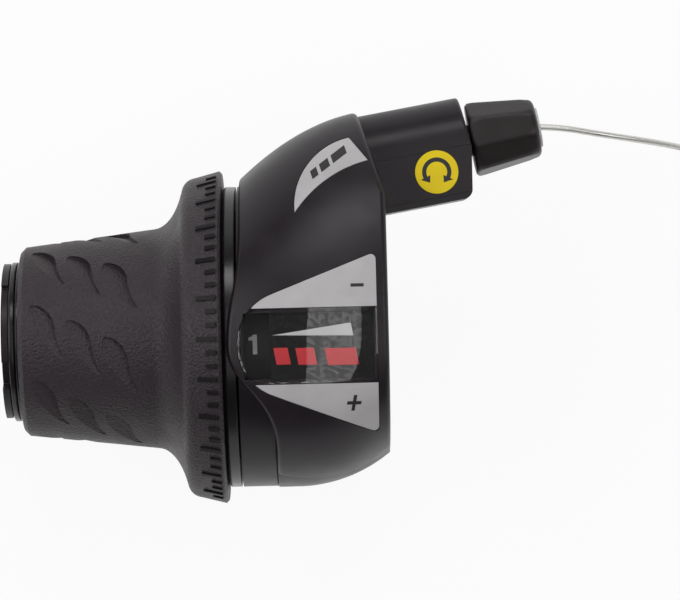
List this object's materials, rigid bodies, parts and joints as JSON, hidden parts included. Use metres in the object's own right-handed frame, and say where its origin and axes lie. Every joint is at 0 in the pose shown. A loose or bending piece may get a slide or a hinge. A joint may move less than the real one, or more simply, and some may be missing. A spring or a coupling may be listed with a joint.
{
  "type": "twist grip shifter",
  "caption": "Left-hand bicycle twist grip shifter with ribbed rubber grip, gear display, bar clamp, barrel adjuster and bare inner wire.",
  "frame": {"origin": "on the handlebar's axis, in the plane where the rubber flange meets the hard rim behind it", "axes": "+X along the bar from the grip to the cable side, +Z out of the display, +Y forward to the arm"},
  "size_m": [0.1631, 0.0756, 0.0638],
  "materials": {
    "grip_rubber": "stippled matt black rubber",
    "gloss_black": "glossy black nylon",
    "satin_black": "fine-grained satin black plastic",
    "inner_plastic": "plain dark acetal",
    "number_black": "matt black with white numerals",
    "silver_panel": "silver lacquer on plastic film",
    "smoked_window": "smoked clear plastic",
    "card_black": "black printed card with red bars",
    "yellow_label": "printed yellow film",
    "white_nylon": "natural white nylon",
    "bolt_steel": "zinc-plated steel",
    "spring_steel": "bright spring steel",
    "wire_steel": "stranded stainless wire",
    "zinc": "cast zinc",
    "tie_plastic": "matt black strap"
  },
  "bodies": {
    "housing": {"base_bracket": "satin_black", "front_cover": "satin_black", "rear_cover": "satin_black", "minus_panel": "silver_panel", "plus_panel": "silver_panel", "window_lens": "smoked_window", "display_card": "card_black", "crescent_badge": "silver_panel", "arm_badge": "yellow_label", "clamp_bolt": "bolt_steel", "clamp_nut": "bolt_steel", "cover_screws": "bolt_steel", "cable_liner": "white_nylon", "inner_cable": "wire_steel", "cable_run": "wire_steel", "cable_coil": "wire_steel", "coil_tie": "tie_plastic", "detent_spring": "spring_steel", "thrust_washer": "white_nylon", "end_washer": "gloss_black"},
    "grip": {"grip_rubber": "grip_rubber", "grip_core": "gloss_black", "number_ring": "number_black", "winding_drum": "inner_plastic", "detent_ring": "inner_plastic", "cable_wrap": "wire_steel", "cable_nipple": "zinc"},
    "bush": {"casing_bush": "white_nylon"},
    "adjuster": {"barrel_adjuster": "gloss_black"}
  },
  "joints": [
    {"name": "grip_twist", "type": "hinge", "parent": "housing", "child": "grip", "pos_m": [0, 0, 0], "axis": [1, 0, 0], "range_deg": [0, 60], "deforming": ["detent_spring"]},
    {"name": "adjuster_travel", "type": "slide", "parent": "housing", "child": "bush", "axis": [0.9863, 0.165, 0], "range_m": [0, 0.004]},
    {"name": "adjuster_turn", "type": "hinge", "parent": "bush", "child": "adjuster", "pos_m": [0.04645, 0.03597, 0.004], "axis": [0.9863, 0.165, 0], "range_deg": [0, 1440]}
  ],
  "couplings": [
    {"joint": "adjuster_turn", "follows": "adjuster_travel", "rad_per_m": 6283}
  ]
}
